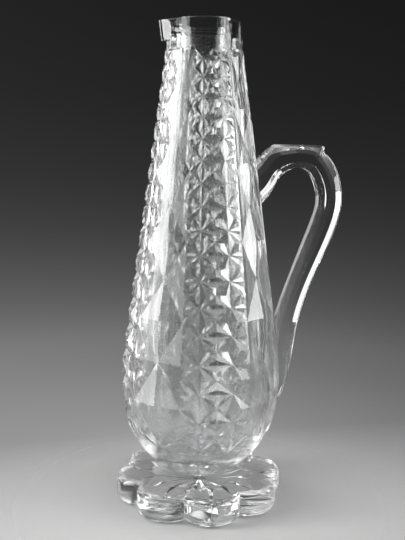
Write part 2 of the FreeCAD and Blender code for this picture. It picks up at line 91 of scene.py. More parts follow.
def direction(angle: float) -> Vector:
    """Unit vector of a half-section at an angle in radians."""
    return Vector((math.cos(angle), math.sin(angle)))


def azimuth(point: Vector) -> float:
    """Azimuth of a point about the jug's axis, in degrees."""
    return math.degrees(math.atan2(point.y, point.x))


def snapped(degrees: float) -> float:
    """Azimuth moved to the nearest division of a turned surface."""
    return round(degrees / STEP_ANGLE) * STEP_ANGLE


def turned_by(edge: BMEdge) -> float:
    """Angle about the jug's axis from one end of an edge to the other, in degrees."""
    first, second = (azimuth(vert.co) for vert in edge.verts)
    return abs((first - second + 180) % 360 - 180)


def mix(start: float, end: float, share: float) -> float:
    """Number between two others."""
    return start + (end - start) * share


def grey(tone: float) -> Colour:
    """Neutral colour of a tone."""
    return (tone, tone, tone)


def whole(bm: BMesh) -> list[BMVert | BMEdge | BMFace]:
    """All the geometry of a mesh."""
    return bm.verts[:] + bm.edges[:] + bm.faces[:]


def verts_in(geometry: Iterable[object]) -> list[BMVert]:
    """Vertices among the geometry that an operator returns."""
    return [item for item in geometry if isinstance(item, BMVert)]


def edges_at(verts: Iterable[BMVert]) -> list[BMEdge]:
    """Edges that meet some vertices, each once and in the same order each run."""
    return list(dict.fromkeys(edge for vert in verts for edge in vert.link_edges))


def boundary(bm: BMesh, keep: Callable[[BMVert], bool]) -> list[BMEdge]:
    """Open edges whose two ends pass a test."""
    return [edge for edge in bm.edges if edge.is_boundary and all(keep(vert) for vert in edge.verts)]


def sharper(edges: Iterable[BMEdge], angle: float) -> list[BMEdge]:
    """Edges between two faces that meet at more than an angle in radians."""
    return [edge for edge in edges if len(edge.link_faces) == 2 and edge.calc_face_angle(0.0) > angle]


def rounded(bm: BMesh, edges: Sequence[BMEdge], radius: float, steps: int) -> None:
    """Round edges off with a number of steps."""
    bmesh.ops.bevel(bm, geom=edges, offset=radius, offset_type="OFFSET", segments=steps, profile=0.5,
                    affect="EDGES", material=-1, clamp_overlap=True)


def extruded(bm: BMesh, edges: Sequence[BMEdge], place: Place, smooth: bool = True) -> list[BMEdge]:
    """Extrude a chain of edges by one row.

    Args:
        bm: Mesh to work on.
        edges: Chain to extrude.
        place: Where a vertex of the new row goes, from where it was.
        smooth: Whether the new faces are shaded smooth.

    Returns:
        The edges of the new row.
    """
    made = bmesh.ops.extrude_edge_only(bm, edges=list(edges))["geom"]
    row = set(verts_in(made))
    for vert in row:
        vert.co = place(vert.co)
    for item in made:
        if isinstance(item, BMFace):
            item.smooth = smooth
    return [item for item in made if isinstance(item, BMEdge) and all(vert in row for vert in item.verts)]


def on_ring(height: float, base: float, lip: Line | None = None) -> Place:
    """Rule that places a row's points on a ring.

    Args:
        height: Height of the ring.
        base: Radius of the ring.
        lip: Line of a lip, which draws the ring out where it reaches further.

    Returns:
        Place of a point, from where it was.
    """
    def place(point: Vector) -> Vector:
        """Place of one point of the row."""
        degrees = snapped(azimuth(point))
        return polar(max(base, lip(degrees)) if lip else base, degrees, height)

    return place


def merged(bm: BMesh) -> None:
    """Merge the vertices that lie on each other."""
    bmesh.ops.remove_doubles(bm, verts=bm.verts[:], dist=MERGE)


def absorb(bm: BMesh, part: BMesh) -> None:
    """Add a part's mesh to a mesh.

    Args:
        bm: Mesh that gets the part.
        part: Mesh to add; it is freed.
    """
    mesh = bpy.data.meshes.new("part")
    part.to_mesh(mesh)
    part.free()
    bm.from_mesh(mesh)
    bpy.data.meshes.remove(mesh)


def placed(name: str, bm: BMesh) -> Object:
    """Put a mesh into the scene as an object.

    Args:
        name: Name of the object and of its mesh.
        bm: Mesh to place; it is freed.

    Returns:
        The object.
    """
    mesh = bpy.data.meshes.new(name)
    bm.to_mesh(mesh)
    bm.free()
    thing = bpy.data.objects.new(name, mesh)
    bpy.context.scene.collection.objects.link(thing)
    return thing


class TurnedProfile:
    """Open half-section that is drawn point by point in the XZ plane and turned about an upright axis."""

    def __init__(self, bm: BMesh, radius: float, height: float) -> None:
        """Start a profile.

        Args:
            bm: Mesh to draw in.
            radius: Radius of the first point.
            height: Height of the first point.
        """
        self.bm = bm
        self.last = bm.verts.new((radius, 0.0, height))
        self.verts = [self.last]

    def line_to(self, radius: float, height: float) -> "TurnedProfile":
        """Draw a straight run.

        Args:
            radius: Radius of its end.
            height: Height of its end.

        Returns:
            The profile itself.
        """
        made = bmesh.ops.extrude_vert_indiv(self.bm, verts=[self.last])
        self.last = made["verts"][0]
        self.last.co = Vector((radius, 0.0, height))
        self.verts.append(self.last)
        return self

    def arc_to(self, centre: Vector, angle: float, steps: int) -> "TurnedProfile":
        """Draw an arc about a centre.

        Args:
            centre: Centre as radius and height.
            angle: Angle to turn by in radians, from the outside upwards.
            steps: Number of edges on the arc.

        Returns:
            The profile itself.
        """
        reach = Vector((self.last.co.x, self.last.co.z)) - centre
        start = math.atan2(reach.y, reach.x)
        for step in range(1, steps + 1):
            turn = start + angle * step / steps
            self.line_to(centre.x + reach.length * math.cos(turn), centre.y + reach.length * math.sin(turn))
        return self

    def turn(self, centre: Vector, angle: float, steps: int) -> list[BMFace]:
        """Turn the profile about an upright axis.

        Args:
            centre: Point of the axis.
            angle: Angle to turn through in radians; a full turn closes on itself.
            steps: Number of divisions.

        Returns:
            The turned faces.
        """
        before = set(self.bm.faces)
        outline = self.verts + edges_at(self.verts)
        bmesh.ops.spin(self.bm, geom=outline, cent=centre, axis=AXIS, dvec=(0, 0, 0), angle=angle,
                       steps=steps, use_merge=math.isclose(angle, math.tau))
        made = [face for face in self.bm.faces if face not in before]
        for face in made:
            face.smooth = True
        return made


@dataclass(frozen=True)
class Graph:
    """Node tree of a finish or of the backdrop, with short ways to add to it."""

    tree: NodeTree

    def feed(self, node: bpy.types.Node, inputs: Inputs) -> None:
        """Set a node's inputs.

        Args:
            node: Node to set.
            inputs: For each input, the socket to link it to or its constant.
        """
        for key, value in inputs.items():
            if isinstance(value, NodeSocket):
                self.tree.links.new(value, node.inputs[key])
            else:
                node.inputs[key].default_value = value

    def add(self, kind: str, inputs: Inputs | None = None, operation: str = "") -> bpy.types.NodeOutputs:
        """Add a node.

        Args:
            kind: Kind of node, without its prefix.
            inputs: For each input that is set, the socket to link it to or its constant.
            operation: What a math node does.

        Returns:
            The node's outputs.
        """
        node = self.tree.nodes.new(f"ShaderNode{kind}")
        if operation:
            node.operation = operation
        self.feed(node, inputs or {})
        return node.outputs

    def noise(self, place: NodeSocket, scale: float, detail: float) -> NodeSocket:
        """Noise of a scale and a number of octaves at a place."""
        return self.add("TexNoise", {"Vector": place, "Scale": scale, "Detail": detail})["Fac"]

    def span(self, value: NodeSocket, source: Span, target: Span = (0.0, 1.0),
             blend: str = "LINEAR") -> NodeSocket:
        """Map a value from one range to another.

        Args:
            value: Value to map.
            source: Start and end of its range.
            target: What the start and the end become.
            blend: How the range is crossed.

        Returns:
            The mapped value.
        """
        node = self.tree.nodes.new("ShaderNodeMapRange")
        node.interpolation_type = blend
        ends = zip(("From Min", "From Max", "To Min", "To Max"), (*source, *target))
        self.feed(node, {"Value": value, **dict(ends)})
        return node.outputs["Result"]

    def ramp(self, value: NodeSocket, stops: Sequence[tuple[float, Colour]], blend: str) -> NodeSocket:
        """Grade a value through colour stops.

        Args:
            value: Value to grade.
            stops: Place and colour of each stop, in order.
            blend: How the ramp goes from stop to stop.

        Returns:
            The colour.
        """
        node = self.tree.nodes.new("ShaderNodeValToRGB")
        node.color_ramp.interpolation = blend
        elements = node.color_ramp.elements
        while len(elements) < len(stops):
            elements.new(1.0)
        for element, (position, colour) in zip(elements, stops):
            element.position = position
            element.color = (*colour, 1.0)
        self.feed(node, {"Fac": value})
        return node.outputs["Color"]


@dataclass(frozen=True)
class CrystalFinish:
    """Clear lead crystal with the faint marks of its making."""

    name: str
    ior: float = 1.545
    tint: Colour = (0.985, 0.988, 0.99)
    cloud: Colour = (0.955, 0.96, 0.965)
    cloud_span: Span = (0.25, 0.6)
    grain: tuple[float, float, float] = (60.0, 60.0, 60.0)
    grain_detail: float = 3.0
    polish: Span = (0.0, 0.02)
    polish_span: Span = (0.35, 0.75)
    ripple: float = 0.04
    ripple_height: float = 0.0004
    wear_height: float = 0.0
    wear_roughness: float = 0.35
    scuff_grain: float = 900.0
    scuff_detail: float = 4.0

    def material(self) -> Material:
        """Build the finish as a node material, or find it where a piece already has it.

        Returns:
            The material.
        """
        made = bpy.data.materials.get(self.name)
        if made:
            return made
        material = bpy.data.materials.new(self.name)
        material.use_nodes = True
        graph = Graph(material.node_tree)
        place = graph.add("TexCoord")["Object"]
        stretched = graph.add("Mapping", {"Vector": place, "Scale": self.grain})["Vector"]
        striae = graph.noise(stretched, 1.0, self.grain_detail)
        tone = graph.ramp(striae, list(zip(self.cloud_span, (self.cloud, self.tint))), "LINEAR")
        rough = graph.span(striae, self.polish_span, self.polish)
        if self.wear_height:
            rough = self._worn(graph, place, rough)
        marks = {"Strength": self.ripple, "Distance": self.ripple_height, "Height": striae}
        graph.feed(material.node_tree.nodes["Principled BSDF"], {
            "IOR": self.ior, "Transmission Weight": 1.0, "Base Color": tone, "Roughness": rough,
            "Normal": graph.add("Bump", marks)["Normal"]})
        return material

    def _worn(self, graph: Graph, place: NodeSocket, rough: NodeSocket) -> NodeSocket:
        """Add the scuffs that the resting face gets from tables.

        Args:
            graph: Nodes of the material.
            place: Object coordinates.
            rough: Roughness without wear.

        Returns:
            Roughness with wear near the floor.
        """
        height = graph.add("SeparateXYZ", {"Vector": place})["Z"]
        scuffs = graph.noise(place, self.scuff_grain, self.scuff_detail)
        near = graph.span(height, (0.0, self.wear_height), (self.wear_roughness, 0.0))
        return graph.add("Math", {0: near, 1: scuffs, 2: rough}, "MULTIPLY_ADD")["Value"]


@dataclass
class Piece:
    """One separately made piece of the jug."""

    node: Node
    finish: CrystalFinish
    hidden_finishes: tuple[CrystalFinish, ...] = ()

    def shape(self, bm: BMesh) -> None:
        """Model the piece into an empty mesh."""
        raise NotImplementedError

    def build(self) -> Object:
        """Model the piece, dress it and put it in the part's frame.

        Returns:
            The finished object.
        """
        bm = bmesh.new()
        self.shape(bm)
        bmesh.ops.recalc_face_normals(bm, faces=bm.faces[:])
        for edge in bm.edges:
            edge.smooth = edge.calc_face_angle(0.0) < SHARP
        open_edges = sum(not edge.is_manifold for edge in bm.edges)
        piece = placed(f"jug_{self.node.value}", bm)
        for finish in (self.finish, *self.hidden_finishes):
            piece.data.materials.append(finish.material())
        shading = piece.modifiers.new("flat_lands", "WEIGHTED_NORMAL")
        shading.keep_sharp = True
        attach(piece, ROOT_BODY)
        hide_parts(self.node.value)
        self.node.slot
        LOG.info("%s: %d faces, %d open edges", piece.name, len(piece.data.polygons), open_edges)
        return piece


@dataclass(frozen=True)
class JugOutline:
    """Outline of the blown body that the cuts, the handle and the foot follow, in metres."""

    foot_height: float = 0.021
    waist_radius: float = 0.023
    belly_radius: float = 0.0516
    belly_height: float = 0.082
    belly_round: float = 0.150
    base_round: float = 0.060
    neck_radius: float = 0.0248
    neck_height: float = 0.287

    @cached_property
    def belly(self) -> Vector:
        """Centre of the belly's arc."""
        return Vector((self.belly_radius - self.belly_round, self.belly_height))

    @cached_property
    def taper_angle(self) -> float:
        """Direction from the belly's centre to where the straight taper begins."""
        reach = Vector((self.neck_radius, self.neck_height)) - self.belly
        return math.atan2(reach.y, reach.x) - math.acos(self.belly_round / reach.length)

    @cached_property
    def taper_end(self) -> Vector:
        """Point where the belly's arc turns into the straight taper."""
        return self.belly + self.belly_round * direction(self.taper_angle)

    @cached_property
    def base_angle(self) -> float:
        """Direction from the belly's centre to where the base's tighter arc begins.

        Returns:
            Angle in radians.
        """
        reach = Vector((self.waist_radius, self.foot_height)) - self.belly
        inset = self.belly_round - self.base_round
        opening = (inset ** 2 + reach.length_squared - self.base_round ** 2) / (2 * inset * reach.length)
        return math.atan2(reach.y, reach.x) + math.acos(opening)

    @cached_property
    def base(self) -> Vector:
        """Centre of the base's arc."""
        return self.belly + (self.belly_round - self.base_round) * direction(self.base_angle)

    def radius(self, height: float) -> float:
        """Radius of the uncut body.

        Args:
            height: Height above the table.

        Returns:
            Radius at that height.
        """
        if height >= self.taper_end.y:
            fall = (self.neck_height - height) / (self.neck_height - self.taper_end.y)
            return mix(self.neck_radius, self.taper_end.x, fall)
        if height >= self.belly.y + self.belly_round * math.sin(self.base_angle):
            centre, reach = self.belly, self.belly_round
        else:
            centre, reach = self.base, self.base_round
        return centre.x + math.sqrt(reach ** 2 - (height - centre.y) ** 2)


@dataclass
class CutBody(Piece):
    """Blown body with star panels, lozenge panels, collar, rim, pouring lip and cavity."""

    INSIDE: ClassVar[int] = 1
    WELD: ClassVar[int] = 2

    outline: JugOutline = field(default_factory=JugOutline)
    panels: int = 4
    rows: int = 16
    handle_rows: int = 3
    star_half: float = 25.0
    lozenge_half: float = 20.0
    lozenge_levels: int = 3
    cut_margin: float = 0.0012
    cut_foot: float = 0.044
    row_growth: float = 1.0175
    star_depth: float = 0.0020
    land_depth: float = 0.00025
    lozenge_sink: float = 1.3
    lozenge_ridge: float = 0.25
    wander: float = 0.00014
    wander_depth: float = 0.10
    collar_radius: float = 0.0237
    collar_top: float = 0.2955
    rim_radius: float = 0.0223
    rim_top: float = 0.305
    mouth_radius: float = 0.0172
    lip_heel: float = 0.293
    lip_reach: Span = (0.0048, 0.0064)
    lip_round: float = 0.005
    lip_wall: float = 0.004
    channel_round: float = 0.0025
    channel_foot: float = 0.289
    channel_shares: tuple[float, ...] = (0.0, 0.35, 0.7)
    edge_round: float = 0.0012
    edge_angle: float = math.radians(40.0)
    edge_steps: int = 4
    wall: float = 0.0065
    floor_height: float = 0.028
    cavity_round: float = 0.038
    taper_steps: int = 8
    belly_steps: int = 18
    floor_steps: int = 14
    base_shelf: float = 0.0008
    base_ring: float = 0.0375
    base_blends: int = 4
    base_rows: int = 6
    sink: float = 0.0005

    @cached_property
    def levels(self) -> list[float]:
        """Heights of the star rows and of the crossings between them.

        Returns:
            Heights from the collar down.
        """
        top = self.outline.neck_height - self.cut_margin
        weights = [self.row_growth ** step for step in range(2 * self.rows + 1)]
        scale = (top - self.cut_foot) / sum(weights)
        heights = [top]
        for weight in weights:
            heights.append(heights[-1] - weight * scale)
        return heights

    def at_level(self, level: float) -> float:
        """Height of a level, also between two of them."""
        upper = min(int(level), len(self.levels) - 2)
        return mix(self.levels[upper], self.levels[upper + 1], level - upper)

    def skin(self, degrees: float, height: float, depth: float = 0.0) -> Vector:
        """Point at a depth below the uncut surface."""
        return polar(self.outline.radius(height) - depth, degrees, height)

    def groove_depth(self, height: float) -> float:
        """Depth of the star grooves, larger where the jug is wider."""
        return self.land_depth + self.star_depth * self.outline.radius(height) / self.outline.belly_radius

    @staticmethod
    def _grid(columns: Sequence[float], rows: Sequence[int]) -> BMesh:
        """Flat grid with an azimuth across and a level down.

        Args:
            columns: Azimuths of the upright lines.
            rows: Levels of the cross lines.

        Returns:
            A new mesh whose vertices hold azimuth and level.
        """
        grid = bmesh.new()
        across, down = len(columns) - 1, len(rows) - 1
        bmesh.ops.create_grid(grid, x_segments=across, y_segments=down, size=0.5)
        for vert in grid.verts:
            column = round((vert.co.x + 0.5) * across)
            row = round((0.5 - vert.co.y) * down)
            vert.co = Vector((columns[column], rows[row], 0.0))
        return grid

    @staticmethod
    def _finder(grid: BMesh) -> Callable[[float, float], BMVert]:
        """Look-up of a grid's vertices by azimuth and level."""
        table = {(round(vert.co.x, GRID_DIGITS), round(vert.co.y, GRID_DIGITS)): vert for vert in grid.verts}
        return lambda degrees, level: table[(round(degrees, GRID_DIGITS), round(level, GRID_DIGITS))]

    @staticmethod
    def _side_edges(grid: BMesh, half: float) -> list[BMEdge]:
        """Edges on the two upright borders of a grid of some half width."""
        return [edge for edge in grid.edges if abs(sum(vert.co.x for vert in edge.verts)) > 2 * half - NEAR]

    @staticmethod
    def _drop(edge: BMEdge) -> float:
        """Levels from one end of a grid's edge to the other."""
        return abs(edge.verts[0].co.y - edge.verts[1].co.y)

    def star_panel(self, bm: BMesh, turn: int, rows: int) -> None:
        """Cut a panel of two columns of eight-rayed stars.

        Args:
            bm: Mesh that gets the panel.
            turn: Azimuth of the panel's middle.
            rows: Number of star rows.
        """
        border, column, last = self.star_half, self.star_half / 2, 2 * rows
        grid = self._grid((-border, -column, column, border), (0, *range(1, last, 2), last))
        inner = [face for face in grid.faces if abs(face.calc_center_median().x) < column / 2
                 and all(0 < vert.co.y < last for vert in face.verts)]
        bmesh.ops.poke(grid, faces=inner)
        ends = [edge for edge in grid.edges if self._drop(edge) < NEAR
                and all(abs(vert.co.x) < border and vert.co.y in (0, last) for vert in edge.verts)]
        sides = [edge for edge in self._side_edges(grid, border)
                 if all(0 < vert.co.y < last for vert in edge.verts)]
        bmesh.ops.subdivide_edges(grid, edges=ends + sides, cuts=1)
        find = self._finder(grid)
        for side in (-1, 1):
            for level in range(1, last, 2):
                star = find(side * column, level)
                for crossing in (level - 1, level + 1):
                    bmesh.ops.connect_verts(grid, verts=[star, find(side * border, crossing)])
                    if crossing in (0, last):
                        bmesh.ops.connect_verts(grid, verts=[star, find(0, crossing)])
        hand = random.Random(turn + rows)
        for vert in grid.verts:
            degrees, level = vert.co.x, round(vert.co.y)
            if abs(degrees) > border - NEAR or level in (0, last):
                tip = level == last and abs(abs(degrees) - column) < NEAR
                vert.co = self.skin(turn + degrees, self.levels[level + tip], self.land_depth)
                continue
            height = self.levels[level] + hand.uniform(-self.wander, self.wander)
            depth = self.groove_depth(height) * hand.uniform(1 - self.wander_depth, 1 + self.wander_depth)
            shift = math.degrees(hand.uniform(-self.wander, self.wander) / self.outline.radius(height))
            vert.co = self.skin(turn + degrees + shift, height, depth)
        peaks = bmesh.ops.poke(grid, faces=grid.faces[:])["verts"]
        for peak in peaks:
            corners = [edge.other_vert(peak).co for edge in peak.link_edges]
            spans = [(corners[i - 1] - corners[i - 2]).length for i in range(3)]
            middle = sum((corner * span for corner, span in zip(corners, spans)), Vector()) / sum(spans)
            peak.co = self.skin(azimuth(middle), middle.z, self.land_depth)
        absorb(bm, grid)

    def lozenge_panel(self, bm: BMesh, turn: int) -> None:
        """Cut a panel with a chain of folded lozenges.

        Args:
            bm: Mesh that gets the panel.
            turn: Azimuth of the panel's middle.
        """
        half, last, reach = self.lozenge_half, 2 * self.rows, self.lozenge_levels
        grid = self._grid((-half, 0, half), (*range(0, last, reach), last + 1))
        for vert in grid.verts:
            vert.co.y = min(vert.co.y, last) if abs(vert.co.x) > NEAR else vert.co.y
        for length in range(2, reach + 1):
            sides = [edge for edge in self._side_edges(grid, half) if round(self._drop(edge)) == length]
            bmesh.ops.subdivide_edges(grid, edges=sides, cuts=length - 1)
        find = self._finder(grid)
        for tip in range(reach, last + 2, 2 * reach):
            for side in (-half, half):
                for level in range(tip - reach, min(tip + reach, last) + 1):
                    if level not in (tip, last):
                        bmesh.ops.connect_verts(grid, verts=[find(0, tip), find(side, level)])
        fold = 1 - math.cos(math.radians(half))
        for vert in grid.verts:
            degrees, level = vert.co.x, round(vert.co.y)
            height = self.levels[level]
            depth = self.land_depth
            if abs(degrees) < NEAR and level <= last:
                share = self.lozenge_sink if level % (2 * reach) else self.lozenge_ridge
                depth = self.outline.radius(height) * fold * share
            vert.co = self.skin(turn + degrees, height, depth)
        absorb(bm, grid)

    @staticmethod
    def join_row(bm: BMesh, keep: Callable[[BMVert], bool]) -> list[BMEdge]:
        """Divide an open row of the panels so that a turned surface can join on.

        Args:
            bm: Mesh of the panels.
            keep: Test that the row's vertices pass.

        Returns:
            The divided row.
        """
        def row() -> list[BMEdge]:
            """Edges of the row, which all run round the body."""
            return [edge for edge in boundary(bm, keep) if turned_by(edge) > NEAR]

        by_cuts: dict[int, list[BMEdge]] = {}
        for edge in row():
            by_cuts.setdefault(round(turned_by(edge) / STEP_ANGLE) - 1, []).append(edge)
        for cuts, group in by_cuts.items():
            bmesh.ops.subdivide_edges(bm, edges=group, cuts=cuts)
        return row()

    def plain_row(self, level: int) -> Place:
        """Rule that places a row of the plain panel, the first row following the tips above it.

        Args:
            level: Level of the row.

        Returns:
            Place of a point, from where it was.
        """
        first, half = 2 * self.handle_rows + 1, self.star_half

        def place(point: Vector) -> Vector:
            """Place of one point of the row."""
            degrees = snapped(azimuth(point))
            tips = 1 - abs(abs(degrees) - half / 2) / (half / 2)
            height = self.at_level(level + tips / 2 if level == first else level)
            return self.skin(degrees, height, self.land_depth if abs(degrees) > half - NEAR else 0.0)

        return place

    def plain_panel(self, bm: BMesh) -> None:
        """Carry the uncut surface down behind the handle, below the short star panel.

        Args:
            bm: Mesh of the panels.
        """
        top = 2 * self.handle_rows
        low, high = self.levels[top + 1] - MERGE, self.levels[top] + MERGE

        def under(vert: BMVert) -> bool:
            """Whether a vertex lies at the lower end of the short panel."""
            return low < vert.co.z < high and abs(azimuth(vert.co)) < self.star_half + NEAR

        row = self.join_row(bm, under)
        for level in range(top + 1, 2 * self.rows + 1):
            row = extruded(bm, row, self.plain_row(level))

    @staticmethod
    def spout(degrees: float, ring: float, reach: float, tip_round: float) -> float:
        """Radius of a ring that is drawn out to a rounded tip towards the lip's side.

        Args:
            degrees: Azimuth.
            ring: Radius of the ring.
            reach: Radius of the tip.
            tip_round: Radius of the tip's rounding.

        Returns:
            Radius at that azimuth.
        """
        centre = reach - tip_round
        turn = math.radians(abs(degrees % 360 - 180))
        half = math.acos((ring - tip_round) / centre) if centre > ring - tip_round else 0.0
        if turn >= half:
            return ring
        touch = tip_round * math.sin(half) / (centre + tip_round * math.cos(half))
        if math.tan(turn) > touch:
            return ring / math.cos(half - turn)
        chord = tip_round ** 2 - (centre * math.sin(turn)) ** 2
        return centre * math.cos(turn) + math.sqrt(max(chord, 0.0))

    def lip_at(self, height: float) -> Line:
        """Outer line of the lip.

        Args:
            height: Height of the line.

        Returns:
            Radius at an azimuth.
        """
        rise = (height - self.lip_heel) / (self.rim_top - self.lip_heel)
        reach = self.rim_radius + mix(*self.lip_reach, rise)
        return lambda degrees: self.spout(degrees, self.rim_radius, reach, self.lip_round)

    def channel_at(self, height: float) -> Line:
        """Inner line of the pouring channel.

        Args:
            height: Height of the line.

        Returns:
            Radius at an azimuth.
        """
        rise = (height - self.channel_foot) / (self.rim_top - self.channel_foot)
        full = self.rim_radius + self.lip_reach[1] - self.lip_wall
        reach = mix(self.mouth_radius, full, rise)
        return lambda degrees: self.spout(degrees, self.mouth_radius, reach, self.channel_round)

    def rim(self, bm: BMesh) -> None:
        """Turn the collar, the rim with its pouring lip, and the mouth.

        Args:
            bm: Mesh of the panels.
        """
        neck, collar = self.outline.neck_height, self.collar_radius
        rings = [on_ring(neck, collar), on_ring(self.lip_heel, collar)]
        for height, base in ((self.lip_heel, collar), (self.collar_top, collar),
                             (self.collar_top, self.rim_radius), (self.rim_top, self.rim_radius)):
            rings.append(on_ring(height, base, self.lip_at(height)))
        for share in self.channel_shares:
            height = mix(self.rim_top, self.channel_foot, share)
            rings.append(on_ring(height, self.mouth_radius, self.channel_at(height)))
        rings.append(on_ring(self.channel_foot, self.mouth_radius))
        top = self.levels[0] - MERGE
        row = self.join_row(bm, lambda vert: vert.co.z > top)
        row = extruded(bm, row, on_ring(neck, self.outline.neck_radius), smooth=False)
        for ring in rings:
            row = extruded(bm, row, ring)
        merged(bm)
        self.soften_rim(bm)

    def soften_rim(self, bm: BMesh) -> None:
        """Round the fire-polished edges of the collar and the rim.

        Args:
            bm: Mesh with the rim.
        """
        bm.normal_update()
        heights = (self.collar_top, self.rim_top)
        edges = [edge for edge in sharper(bm.edges, self.edge_angle)
                 if any(all(abs(vert.co.z - height) < MERGE for vert in edge.verts) for height in heights)]
        rounded(bm, edges, self.edge_round, self.edge_steps)

    def cavity(self, bm: BMesh) -> None:
        """Turn the inside, from the mouth down to the floor.

        Args:
            bm: Mesh with the rim.
        """
        outline, mouth = self.outline, self.mouth_radius
        inner_round = outline.belly_round - self.wall
        height = self.floor_height + self.cavity_round
        reach, drop = inner_round - self.cavity_round, height - outline.belly.y
        across = outline.belly.x + math.sqrt(reach ** 2 - drop ** 2)
        corner = Vector((across, height))
        low = math.atan2(corner.y - outline.belly.y, corner.x - outline.belly.x)
        inner_end = outline.belly + inner_round * direction(outline.taper_angle)
        slope = (outline.neck_height - outline.taper_end.y) / (outline.neck_radius - outline.taper_end.x)
        throat = inner_end.y + (mouth - inner_end.x) * slope
        profile = TurnedProfile(bm, mouth, self.channel_foot)
        profile.line_to(mouth, outline.neck_height).line_to(mouth, throat)
        for step in range(1, self.taper_steps + 1):
            share = step / self.taper_steps
            profile.line_to(mix(mouth, inner_end.x, share), mix(throat, inner_end.y, share))
        profile.arc_to(outline.belly, low - outline.taper_angle, self.belly_steps)
        profile.arc_to(corner, -math.pi / 2 - low, self.floor_steps)
        profile.line_to(across / 2, self.floor_height).line_to(0.0, self.floor_height)
        for face in profile.turn(Vector(), math.tau, TURN_STEPS):
            if face.calc_center_median().z < outline.neck_height:
                face.material_index = self.INSIDE

    def base(self, bm: BMesh) -> None:
        """Carry the uncut surface from the lowest cuts down into the foot.

        Args:
            bm: Mesh of the panels.
        """
        top = self.levels[2 * self.rows] + MERGE
        foot, waist = self.outline.foot_height, self.outline.waist_radius

        def towards(height: float, share: float, drop: float = 0.0) -> Place:
            """Place of a row's points on the uncut surface, part of the way to an even height."""
            def place(point: Vector) -> Vector:
                """Place of one point of the row."""
                return self.skin(snapped(azimuth(point)), mix(point.z, height, share) - drop)

            return place

        row = self.join_row(bm, lambda vert: vert.co.z < top)
        row = extruded(bm, row, towards(self.base_ring, 0.0, self.base_shelf), smooth=False)
        for left in range(self.base_blends, 0, -1):
            row = extruded(bm, row, towards(self.base_ring, 1 / left))
        for step in range(1, self.base_rows + 1):
            row = extruded(bm, row, towards(mix(self.base_ring, foot, step / self.base_rows), 1.0))
        row = extruded(bm, row, lambda point: polar(waist, azimuth(point), foot - self.sink))
        bmesh.ops.edgeloop_fill(bm, edges=row)
        for face in bm.faces:
            if face.calc_center_median().z < foot:
                face.material_index = self.WELD

    def shape(self, bm: BMesh) -> None:
        """Model the body: panels, plain back, base, rim and cavity.

        Args:
            bm: Empty mesh.
        """
        pitch = 360 // self.panels
        for turn in range(0, 360, pitch):
            self.star_panel(bm, turn, self.rows if turn else self.handle_rows)
        for turn in range(pitch // 2, 360, pitch):
            self.lozenge_panel(bm, turn)
        merged(bm)
        for face in bm.faces:
            face.smooth = False
        self.plain_panel(bm)
        merged(bm)
        self.base(bm)
        self.rim(bm)
        self.cavity(bm)
        merged(bm)
        bmesh.ops.dissolve_degenerate(bm, dist=SLIVER, edges=bm.edges[:])


@dataclass(frozen=True)
class HandleStation:
    """One cross-section of the handle, as shares of reach, span and width."""

    inner_out: float
    inner_up: float
    outer_out: float
    outer_up: float
    width: float = 1.0
    crown: float = 0.28
    edge: float = 0.0


HANDLE_STATIONS = (
    HandleStation(-0.075, 0.738, -0.062, 0.926, 1.24),
    HandleStation(-0.005, 0.772, 0.000, 0.937, 1.18),
    HandleStation(0.109, 0.802, 0.078, 0.959, 1.13),
    HandleStation(0.197, 0.853, 0.170, 0.986, 1.08),
    HandleStation(0.240, 0.873, 0.225, 1.000, 1.06, 0.36, 0.6),
    HandleStation(0.306, 0.894, 0.336, 1.000, 1.03, 0.52),
    HandleStation(0.468, 0.920, 0.519, 1.000, 1.00, 0.58),
    HandleStation(0.577, 0.909, 0.714, 1.000, 1.00, 0.58),
    HandleStation(0.610, 0.897, 0.800, 0.998, 1.00, 0.56, 1.0),
    HandleStation(0.612, 0.896, 0.800, 0.972, 1.00, 0.34, 1.0),
    HandleStation(0.648, 0.876, 0.878, 0.953),
    HandleStation(0.684, 0.820, 0.970, 0.879),
    HandleStation(0.665, 0.765, 0.965, 0.774),
    HandleStation(0.554, 0.690, 0.832, 0.664, 0.98),
    HandleStation(0.383, 0.578, 0.622, 0.543, 0.95),
    HandleStation(0.210, 0.460, 0.430, 0.431, 0.94),
    HandleStation(0.059, 0.354, 0.298, 0.324, 0.96),
    HandleStation(-0.040, 0.254, 0.215, 0.230, 0.98),
    HandleStation(-0.072, 0.136, 0.152, 0.124, 0.92),
    HandleStation(-0.064, 0.047, 0.118, 0.038, 0.76),
    HandleStation(-0.055, 0.004, 0.055, 0.000, 0.44),
)


